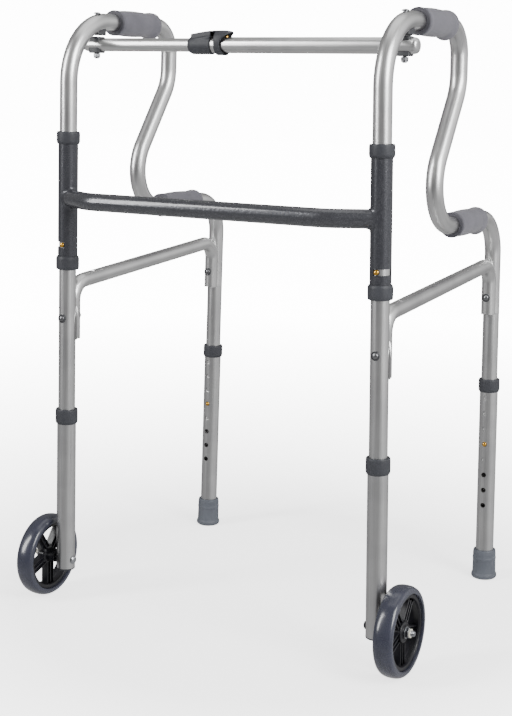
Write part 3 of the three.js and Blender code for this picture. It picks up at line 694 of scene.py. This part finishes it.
def build_brace_bolt(side, part):
    node = side.node(part)
    low, high = side.span(node)
    z = (low.z + high.z) / 2
    head_face = low.y + 4.2
    nut_face = high.y - 6
    head = at(along_y(dome(4.7, 0, 3.6, 3, -(nut_face - head_face)), -1), y=head_face, z=z)
    ring = at(along_y(rod(6.4, -0.3, 1.5, 4.9, 0.5), -1), y=head_face, z=z)
    nut = at(along_y(dome(5.4, 0, 5.6, 3, -1)), y=nut_face, z=z)
    body = f"{side.word}_side"
    make(side, node, body, "dark_zinc", [head, nut])
    make(side, node, body, "black_plastic", [ring], tag="washer", stands=False)


def build_grip(side, part):
    """Soft grip: front flange, swelling body and a rounded rear end that drops below the hand."""
    node = side.node(part)
    low, high = side.span(node)
    length = high.y - low.y
    z = (low.z + high.z) / 2
    bore = TUBE_R + GAP
    outline = [(bore, GRIP_FLANGE), (17.2, GRIP_FLANGE), (18.5, GRIP_FLANGE + 2.2),
               (18.7, GRIP_FLANGE + 5)]
    for share, radius in ((0.12, 18.3), (0.3, 19.1), (0.5, 19.3), (0.68, 18.6), (0.78, 18.2),
                          (0.86, 18.9), (0.93, 19.4), (0.97, 19.0), (0.99, 17.6), (1.0, 15.4)):
        outline.append((radius, length * share))
    outline.append((bore, length))
    count = 64
    angles = np.linspace(0, 2 * math.pi, count, endpoint=False)
    rows = []
    for r, y in smooth_outline(rounded(outline, 3)):
        drop = math.exp(-((y / length - 0.9) / 0.09) ** 2) * max(0.0, (r - bore) / 6)
        ring = []
        for angle in angles:
            under = max(0.0, -math.sin(angle)) ** 2
            radius = r + GRIP_DROP * drop * under
            ring.append((radius * math.cos(angle), low.y + y, z + radius * math.sin(angle)))
        rows.append(ring)
    body = f"{side.word}_side"
    make(side, node, body, "grip", [Shell(rows)])
    flange = turned([(bore, 0), (18.6, 0, 1.6), (18.9, 3.4, 1.4), (16.8, GRIP_FLANGE + 0.6, 1),
                     (bore, GRIP_FLANGE + 0.6)], 64)
    make(side, node, body, "grip_flange", [at(along_y(flange), y=low.y, z=z)], tag="flange",
         stands=False)


def smooth_outline(points, per_span=4):
    """Adds Catmull-Rom points between the outline's points, so that the body curves."""
    spots = [np.array(point) for point in points]
    made = []
    for k in range(len(spots) - 1):
        p0, p1 = spots[max(k - 1, 0)], spots[k]
        p2, p3 = spots[k + 1], spots[min(k + 2, len(spots) - 1)]
        steps = per_span if np.linalg.norm(p2 - p1) > 5 else 1
        for step in range(steps):
            t = step / steps
            made.append(0.5 * (2 * p1 + (p2 - p0) * t + (2 * p0 - 5 * p1 + 4 * p2 - p3) * t**2
                               + (3 * p1 - p0 - 3 * p2 + p3) * t**3))
    made.append(spots[-1])
    return [tuple(point) for point in made]


def build_button(side, part, body, direction, y):
    node = side.node(part)
    low, high = side.span(node)
    z = (low.z + high.z) / 2
    tip = max(abs(high.y - y), abs(low.y - y))
    rows = [(0, 7), (5.5, 7), (5.5, 7.8), (BUTTON_R, 7.8), (BUTTON_R, tip - 2.6, 0.4)]
    for k in range(1, 8):
        angle = math.pi / 2 * k / 7
        rows.append((BUTTON_R * math.cos(angle), tip - 2.6 + 2.6 * math.sin(angle)))
    stud = at(along_y(turned(rows[:-1] + [(0, tip)], 32), direction), y=y, z=z)
    make(side, node, body, "brass", [stud])


def build_lower_tube(side, end, y, direction):
    """Telescopic lower leg with its row of holes, the collar on top and the spring button."""
    node = side.node(f"{end}_lower_tube")
    low, high = side.span(node)
    radius = high.x
    button = middle(side, f"{end}_leg_button").z
    count, place = LEG_HOLES[end]
    first = button + HOLE_PITCH * place
    holes = [at(along_y(rod(HOLE_R, 0, 20, segments=24), direction), y=y, z=first - HOLE_PITCH * k)
             for k in range(count)]
    body = f"{side.word}_{end}_leg"
    make(side, node, body, "aluminium", [at(rod(radius, low.z, high.z, LEG_BORE), y=y)], holes)
    collar = side.node(f"{end}_leg_collar")
    c_low, c_high = side.span(collar)
    ring = collar_shell(c_low.z, c_high.z, c_high.x, radius, LEG_BORE, True)
    make(side, collar, body, "dark_plastic", [at(ring, y=y)])
    build_button(side, f"{end}_leg_button", f"{body}_button", direction, y)
    if end == "front":
        plug = turned([(0, low.z - 2.6, 1), (radius - 0.2, low.z - 2.6, 1.6), (radius + 0.3, low.z - 0.2),
                       (LEG_BORE - GAP, low.z), (LEG_BORE - GAP, low.z + 8), (0, low.z + 8)])
        make(side, node, body, "dark_plastic", [plug], tag="plug", stands=False)


def build_foot(side, y):
    node = side.node("rear_foot")
    low, high = side.span(node)
    top = high.z
    bottom = max(0.2, low.z + 0.5)
    r = high.x
    outline = [(0, bottom), (r - 2, bottom, 0.6), (r, bottom + 2.2, 1), (r, 6.5, 1.2), (r - 1.7, 9.5, 1.5),
               (18.5, 28), (18.3, 31, 0.6), (18.9, 32, 0.6), (18.9, 35, 0.6), (18.3, 36, 0.6),
               (18.5, 41), (17.6, top, 1.6), (14.6, top), (14.6, 8.2), (0, 8.2)]
    foot = at(turned(outline, 56, 3), y=y)
    make(side, node, f"{side.word}_rear_leg", "foot_rubber", [foot])


# ---- Wheels -----------------------------------------------------------------------------------


def on_axle(shell, side, x, z):
    """Turns a shell from its own Z axis to the axle's, pointing outwards."""
    return at(along_x(shell, side.sign), x=x, z=z)


def build_wheel(side):
    body = f"{side.word}_wheel"
    tyre = side.node("wheel_tyre")
    low, high = side.span(tyre)
    x, z = (low.x + high.x) / 2, (low.z + high.z) / 2
    outer = (high.z - low.z) / 2
    half = (high.x - low.x) / 2
    section = [(TYRE_BORE, -half + 3.4)]
    for k in range(25):
        angle = -math.pi / 2 - 0.35 + (math.pi + 0.7) * k / 24
        c, s = math.cos(angle), math.sin(angle)
        radius = TYRE_SHOULDER + (outer - TYRE_SHOULDER) * math.copysign(abs(c) ** 0.75, c)
        section.append((max(radius, TYRE_BORE + 0.6), half * math.copysign(abs(s) ** 0.85, s)))
    section.append((TYRE_BORE, half - 3.4))
    make(side, tyre, body, "tyre", [on_axle(turned(section, 96), side, x, z)])

    rim = side.node("wheel_rim")
    width = half - 3
    band = turned([(47.2, -width, 0.8), (52.2, -width, 0.8), (52.2, width, 0.8), (47.2, width, 0.8),
                   (46.2, width - 3), (49, 1.5), (49, -1.5), (46.2, 3 - width)], 96)
    hub = turned([(4.3, -18.4), (9.2, -18.4, 0.8), (11.2, -5), (15, -3, 0.8), (15, 7.4, 1),
                  (12.6, 8.6, 0.6), (11.8, 7.6), (9.6, 7.6), (9, 9, 0.5), (4.3, 9)], 64)
    spokes = []
    phase = 0.25 * (1 - side.sign)  # one spoke points straight down
    for k in range(SPOKES):
        turn = Matrix.Rotation(2 * math.pi * (k + phase) / SPOKES, 4, "Z")
        spokes.append(block((12, -7.6, -3), (49, 7.6, 2), 1.2).moved(turn))
        for rib_y in (-7, 0, 7):
            spokes.append(block((12, rib_y - 0.8, -6), (48.6, rib_y + 0.8, 5.4), 0.6).moved(turn))
    shells = [on_axle(shell, side, x, z) for shell in [band, hub, *spokes]]
    make(side, rim, body, "wheel_rim", shells)


def build_axle(side):
    body = f"{side.word}_front_leg"
    bolt, nut = side.node("axle_bolt"), side.node("axle_nut")
    low, high = side.span(bolt)
    z = (low.z + high.z) / 2
    inner, outer = sorted((low.x, high.x), key=abs)
    head_depth = abs(inner)
    length = abs(outer) + head_depth
    head_size = head_depth - side.span(side.node("front_lower_tube"))[1].x - GAP
    head = turned([(0, head_size - 3), (4.5, head_size - 2.6, 1.5), (6.6, head_size, 0.4), (0, head_size)])
    thread = [(0, 5), (3.9, 5), (3.9, length - 14)]
    for k in range(THREAD["turns"]):
        rise = THREAD["pitch"] * k
        thread += [(3.3, length - 13.4 + rise), (3.95, length - 12.8 + rise)]
    thread += [(3.1, length), (0, length)]
    place = Matrix.Translation((inner, 0, z)) @ Matrix.Rotation(side.sign * math.pi / 2, 4, "Y")
    make(side, bolt, body, "zinc", [head.moved(place), turned(thread).moved(place)])
    n_low, n_high = side.span(nut)
    start = min(abs(n_low.x), abs(n_high.x))
    size = abs(n_high.x - n_low.x)
    place = Matrix.Translation((side.sign * start, 0, z)) @ Matrix.Rotation(
        side.sign * math.pi / 2, 4, "Y")
    flat = hexagon(7.5, 0.8, size - 2.2, 4.2)
    flange = rod(8.4, -0.2, 1.1, 4.2, 0.3)
    insert = rod(6.3, size - 2.4, size, 4.1, 0.8)
    make(side, nut, body, "zinc", [flat.moved(place), flange.moved(place)])
    make(side, nut, body, "nylon", [insert.moved(place)], tag="insert", stands=False)


# ---- Top bar ----------------------------------------------------------------------------------


def bar_axis():
    low, high = base.span("bar_inner_tube")
    return (low.y + high.y) / 2, (low.z + high.z) / 2


def rounded_tube(radius, bore, start, end, closed_end):
    """Straight tube along X; its closed end is a soft plug."""
    open_end = start if closed_end > start else end
    way = math.copysign(1, closed_end - open_end)
    outline = [(bore, open_end), (radius, open_end, 0.4), (radius, closed_end, 8), (0, closed_end),
               (0, closed_end - way * 8), (bore, closed_end - way * 8)]
    return turned(outline, steps=8)


def build_bar_tubes():
    y, z = bar_axis()
    lock_x = (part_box("lock_button")[0].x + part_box("lock_button")[1].x) / 2 / MM
    for node, body, bore, closed_high in (("bar_outer_tube", "bar_outer", 9.9, True),
                                          ("bar_inner_tube", "bar_inner", 8.2, False)):
        low, high = base.span(node)
        radius = (high.z - low.z) / 2
        closed = high.x if closed_high else low.x
        tube = along_x(rounded_tube(radius, bore, low.x, high.x, closed))
        hole = at(rod(3.7, 0, 30, segments=24), x=lock_x)
        shells = [at(tube, y=y, z=z)]
        make(base, node, body, "aluminium", shells, [at(hole, y=y, z=z)])


def build_lock():
    """Collar, sprung hood with its band, and the button that they release."""
    y, z = bar_axis()
    low, high = base.span("lock_collar")
    start, end = low.x, high.x
    radius = (high.y - low.y) / 2
    outer_r = base.span("bar_outer_tube")[1].z - z
    count = 64
    angles = np.linspace(0, 2 * math.pi, count, endpoint=False)
    rows = []
    for x, r in ((start, 10), (start, radius - 2.4), (start + 0.8, radius - 1.6), (start + 4.5, radius),
                 (start + 12, radius), (start + 20, radius), (start + 28, radius), (end - 0.8, radius),
                 (end, radius - 0.6), (end, outer_r + GAP), (start + 8, outer_r + GAP),
                 (start + 8, 10)):
        lift = max(0.0, min(1.0, (x - start - 6) / (end - start - 6)))
        ring = []
        for angle in angles:
            off_top = abs(math.remainder(angle - math.pi / 2, 2 * math.pi))
            away = (off_top - math.radians(COLLAR_SHOULDER["at"])) / math.radians(COLLAR_SHOULDER["spread"])
            shoulder = COLLAR_SHOULDER["height"] * lift * math.exp(-away ** 2)
            wide = r + (shoulder if r >= radius - 1 else 0)
            ring.append((x, y + wide * math.cos(angle), z + wide * math.sin(angle)))
        rows.append(ring)
    lever_low, lever_high = base.span("release_lever")
    band_left = end + BAND_GAP
    top = lever_high.z - z
    tongue_start = lever_low.x
    tongue_end = band_left + TONGUE_OVERLAP

    def tongue_height(x):
        share = (x - tongue_start) / (tongue_end - tongue_start)
        return TONGUE_RISE + (top - 0.2 - TONGUE_RISE) * math.sin(share * math.pi / 2)

    fins = []
    for near, far in ((-9.4, -7.5), (7.5, 9.4)):
        rings = []
        for x in np.linspace(tongue_start + 1, end - 0.4, 9):
            crest = tongue_height(x) - 1.0
            rings.append([(x, y + near, z + 7), (x, y + far, z + 7),
                          (x, y + far, z + crest - 0.6), (x, y + far * 0.97, z + crest),
                          (x, y + near * 0.97, z + crest), (x, y + near, z + crest - 0.6)])
        closing = [[tuple(np.mean(ring, axis=0))] * 6 for ring in (rings[0], rings[-1])]
        fins.append(Shell([closing[0], *rings, closing[1]], wrap=False))
    make(base, "lock_collar", "bar_outer", "dark_plastic", [Shell(rows)], extras=fins)
    hood = []
    for angle in angles:
        off_top = abs(math.remainder(angle - math.pi / 2, 2 * math.pi))
        share = 0.5 + 0.5 * math.cos(min(math.pi, off_top * 1.9))
        bulge = share**0.8
        outer = outer_r + 3.0 + (top - outer_r - 3.0) * bulge
        mouth = band_left + BAND_WIDTH + (lever_high.x - band_left - BAND_WIDTH) * share**1.5
        mouth += 5 * max(0.0, -math.sin(angle)) ** 2
        hood.append((outer, mouth))
    sections = []
    profile = ((0, 0.35, 0), (0, 0, 0), (0.06, 0, 0), (0.5, 0, 0), (0.72, 0.35, 0), (0.88, 1.0, 0),
               (0.97, 1.9, 0), (1, 2.6, 0), (0.98, 2.6, 1), (0.72, 0.9, 2.2), (0.5, 0, 2.6), (0, 0, 2.6))
    for across, drop, depth in profile:
        ring = []
        for angle, (outer, mouth) in zip(angles, hood):
            topmost = max(0.0, math.sin(angle)) ** 2
            edge = drop * topmost + (0.35 if across in (0, 1) and depth == 0 else 0)
            r = max(outer_r + 0.4 if depth else outer_r + 1.2, outer - edge - depth)
            x = band_left + (mouth - band_left) * across
            ring.append((x, y + r * math.cos(angle), z + r * math.sin(angle)))
        sections.append(ring)
    tongue = []
    for share in np.linspace(0, 1, 9):
        x = tongue_start + (tongue_end - tongue_start) * share
        rise = tongue_height(x)
        thick = 2.0 + 0.8 * share
        half = 6.2 + 0.8 * share
        ring = []
        for turn in np.linspace(0, 2 * math.pi, 24, endpoint=False):
            c, s = math.cos(turn), math.sin(turn)
            ring.append((x, y + half * math.copysign(abs(c) ** 0.4, c),
                         z + rise - thick / 2 + thick / 2 * math.copysign(abs(s) ** 0.5, s)))
        tongue.append(ring)
    ends = [[tuple(np.mean(ring, axis=0))] * 24 for ring in (tongue[0], tongue[-1])]
    strip = Shell([ends[0], *tongue, ends[1]], wrap=False)
    b_low, b_high = base.span("lock_button")
    lock_x = (b_low.x + b_high.x) / 2
    presser = at(rod(3, b_high.z - z + 0.4, top - 1.6, edge=0.4), x=lock_x, y=y, z=z)
    make(base, "release_lever", "release_lever", "dark_plastic", [Shell(sections), strip, presser])
    rows = [(0, 3.6), (5, 3.6), (5, 4.8), (3, 4.8)]
    tip = b_high.z - z
    for k in range(8):
        angle = math.pi / 2 * k / 7
        rows.append((3 * math.cos(angle), tip - 2.4 + 2.4 * math.sin(angle)))
    stud = at(turned(rows[:-1] + [(0, tip)], 32), x=lock_x, y=y, z=z)
    make(base, "lock_button", "lock_button", "brass", [stud])


def build_saddles():
    """The blocks, washers and bolts that hold the bar below the two top bends."""
    y, z = bar_axis()
    for side in sides:
        word = side.word
        bar_node, bar_body = ("bar_inner_tube", "bar_inner") if word == "left" else (
            "bar_outer_tube", "bar_outer")
        bar_r = (base.span(bar_node)[1].z - base.span(bar_node)[0].z) / 2
        node = side.node("frame_saddle")
        low, high = side.span(node)
        cradle = side_path(side).sweep(TUBE_R + GAP, segments=32)
        make(side, node, f"{word}_side", "black_plastic", [block(low, high, 3)], [cradle])
        for part in ("bar_saddle", "bar_washer"):
            node = side.node(part)
            low, high = base.span(node)
            bar = at(along_x(rod(bar_r + GAP / 2, low.x - 20, high.x + 20)), y=y, z=z)
            make(base, node, bar_body, "black_plastic", [block(low, high, 3.4)], [bar])
        node = side.node("bar_pivot_bolt")
        low, high = side.span(node)
        head = at(dome(5.2, 0, 2.6, 3, low.z - (high.z - 4)), y=(low.y + high.y) / 2, z=high.z - 4)
        make(side, node, f"{word}_side", "dark_zinc", [head])
    nut = "right_pivot_nut"
    right = sides[1]
    low, high = right.span(nut)
    shape = [hexagon(5.6, low.z + 1.8, high.z, 3.1), rod(4.7, low.z, low.z + 2.0, 3.1, 0.6)]
    make(right, nut, "right_side", "dark_zinc", [at(shell, y=(low.y + high.y) / 2) for shell in shape])
    nut = "left_pivot_nut"
    low, high = base.span(nut)
    hub = low.z + 8
    shape = [hexagon(5.6, low.z + 2.6, hub - GAP, 0), rod(4.7, low.z + 1.2, low.z + 2.8, 0, 0.5),
             rod(3, low.z, high.z)]
    x = (low.x + high.x) / 2
    make(base, nut, "bar_inner", "dark_zinc", [at(shell, x=x, y=y) for shell in shape])


# ---- Assembly ---------------------------------------------------------------------------------

build_crossbar()
for one_side in sides:
    word = one_side.word
    rear_y = middle(one_side, "rear_lower_tube").y
    build_sleeve(one_side)
    build_side_tube(one_side)
    build_brace(one_side)
    build_brace_bolt(one_side, "brace_front_bolt")
    build_brace_bolt(one_side, "brace_rear_bolt")
    build_grip(one_side, "upper_grip")
    build_grip(one_side, "lower_grip")
    build_button(one_side, "stop_button", f"{word}_stop_button", -1, 0)
    build_lower_tube(one_side, "front", 0, 1)
    build_lower_tube(one_side, "rear", rear_y, -1)
    build_foot(one_side, rear_y)
    build_wheel(one_side)
    build_axle(one_side)
build_bar_tubes()
build_lock()
build_saddles()

# Inner pieces that keep their CAD shape
for node in ("bar_guide_bush", "right_pivot_washer"):
    for material_slot in frame["nodes"][node].material_slots:
        material_slot.material = finishes["black_plastic"]

# ---- Studio and camera ------------------------------------------------------------------------

# Metres, degrees and watts
WHITE = 14.0  # brightness that the camera shows as white
FLOOR_REACH = 14.0
FLOOR_GLOW = {"near": 0.4, "far": 2.6, "low": 2.2}  # the glow rises from low at near to WHITE at far
CAMERA_PLACE = (0.984, -1.841, 0.797)
CAMERA_TURN = 29.05  # to the left of the +Y direction
CAMERA_DIP = 11.42
CAMERA_ROLL = 0.9
CAMERA_SENSOR = 36
CAMERA_LENS = 69.8
SOFTBOXES = {  # name: place, width, height, power
    "key_left": ((-2.1, -2.5, 1.9), 0.7, 2.6, 105),
    "key_right": ((2.6, -0.9, 1.9), 1.2, 2.2, 105),
    "top": ((0.0, 0.4, 3.2), 2.4, 2.4, 22),
}


def only_for_camera(nodes, value):
    """The value where the camera looks, nothing for the light in the room."""
    ray = nodes.add("ShaderNodeLightPath").outputs["Is Camera Ray"]
    return nodes.add("ShaderNodeMath", {0: value, 1: ray}, operation="MULTIPLY").outputs[0]


def build_floor():
    """Pale floor that fades into the white of the background."""
    floor = new_object("floor", bpy.data.meshes.new("floor"))
    corners = [(x * FLOOR_REACH, y * FLOOR_REACH) for x, y in ((-1, -1), (1, -1), (1, 1), (-1, 1))]
    floor.data.from_pydata([(x, y, -0.0005) for x, y in corners], [], [(0, 1, 2, 3)])

    def build(nodes, place, uv):
        clouds = nodes.noise(place, 3.0, 2.0)
        away = nodes.add("ShaderNodeVectorMath", {0: place}, operation="LENGTH").outputs["Value"]
        glow = nodes.ramp(away, FLOOR_GLOW["near"], FLOOR_GLOW["far"], FLOOR_GLOW["low"], WHITE)
        return {"Base Color": nodes.ramp(clouds, 0.3, 0.7, (0.87, 0.87, 0.87), (0.9, 0.9, 0.9)),
                "Emission Strength": only_for_camera(nodes, glow)}
    floor.data.materials.append(
        shader("studio_floor", build, Roughness=0.8, Emission_Color=(1, 1, 1, 1)))
    floor.visible_glossy = False


def build_world():
    """Dim room, brighter overhead and towards the right of the picture, white for the camera."""
    world = bpy.data.worlds.new("studio")
    bpy.context.scene.world = world
    world.use_nodes = True
    nodes = Nodes(world.node_tree)
    place = nodes.add("ShaderNodeTexCoord").outputs["Generated"]
    height = nodes.add("ShaderNodeSeparateXYZ", {0: place}).outputs["Z"]
    above = nodes.ramp(height, 0.0, 0.5, (0.21, 0.21, 0.215), (0.3, 0.3, 0.3))
    below = nodes.ramp(height, -0.1, -0.6, 0.0, 0.35)
    room = nodes.add("ShaderNodeVectorMath", {0: above, 1: below}, operation="ADD").outputs[0]
    side = nodes.add("ShaderNodeVectorMath", {0: place, 1: (0.96, 0.28, 0)}, operation="DOT_PRODUCT")
    glow = nodes.ramp(side.outputs["Value"], 0.35, 0.95, 0.0, 1.0)
    rise = nodes.ramp(height, -0.35, 0.2, 0.15, 1.2)
    lobe = nodes.add("ShaderNodeMath", {0: glow, 1: rise}, operation="MULTIPLY").outputs[0]
    lit = nodes.add("ShaderNodeVectorMath", {0: room, 1: lobe}, operation="ADD").outputs[0]
    ray = nodes.add("ShaderNodeLightPath").outputs["Is Camera Ray"]
    mix = nodes.add("ShaderNodeMix", data_type="RGBA")
    world.node_tree.links.new(ray, mix.inputs[0])
    world.node_tree.links.new(lit, mix.inputs[6])
    mix.inputs[7].default_value = (WHITE, WHITE, WHITE, 1)
    background = nodes.add("ShaderNodeBackground", {"Color": mix.outputs[2], "Strength": 1.0})
    nodes.add("ShaderNodeOutputWorld", {"Surface": background.outputs[0]})


def add_softbox(name, place, width, height, power):
    """Area light that looks at the middle of the frame."""
    light = bpy.data.lights.new(name, "AREA")
    light.shape = "RECTANGLE"
    light.size, light.size_y = width, height
    light.energy = power
    lamp = bpy.data.objects.new(name, light)
    bpy.context.scene.collection.objects.link(lamp)
    lamp.location = place
    aim = (cad_low + cad_high) / 2 - Vector(place)
    lamp.rotation_euler = aim.to_track_quat("-Z", "Y").to_euler()


def build_camera():
    turn, dip, roll = (math.radians(angle) for angle in (CAMERA_TURN, CAMERA_DIP, CAMERA_ROLL))
    ahead = Vector((-math.sin(turn) * math.cos(dip), math.cos(turn) * math.cos(dip), -math.sin(dip)))
    right = Vector((math.cos(turn), math.sin(turn), 0))
    up = right.cross(ahead)
    tilted_right = right * math.cos(roll) + up * math.sin(roll)
    tilted_up = up * math.cos(roll) - right * math.sin(roll)
    camera = bpy.data.objects.new("camera", bpy.data.cameras.new("camera"))
    bpy.context.scene.collection.objects.link(camera)
    axes = Matrix((tilted_right, tilted_up, -ahead)).transposed()
    camera.matrix_world = Matrix.Translation(CAMERA_PLACE) @ axes.to_4x4()
    camera.data.sensor_width = CAMERA_SENSOR
    camera.data.lens = CAMERA_LENS
    bpy.context.scene.camera = camera


build_floor()
build_world()
for softbox, (spot, width, height, power) in SOFTBOXES.items():
    add_softbox(softbox, spot, width, height, power)
build_camera()
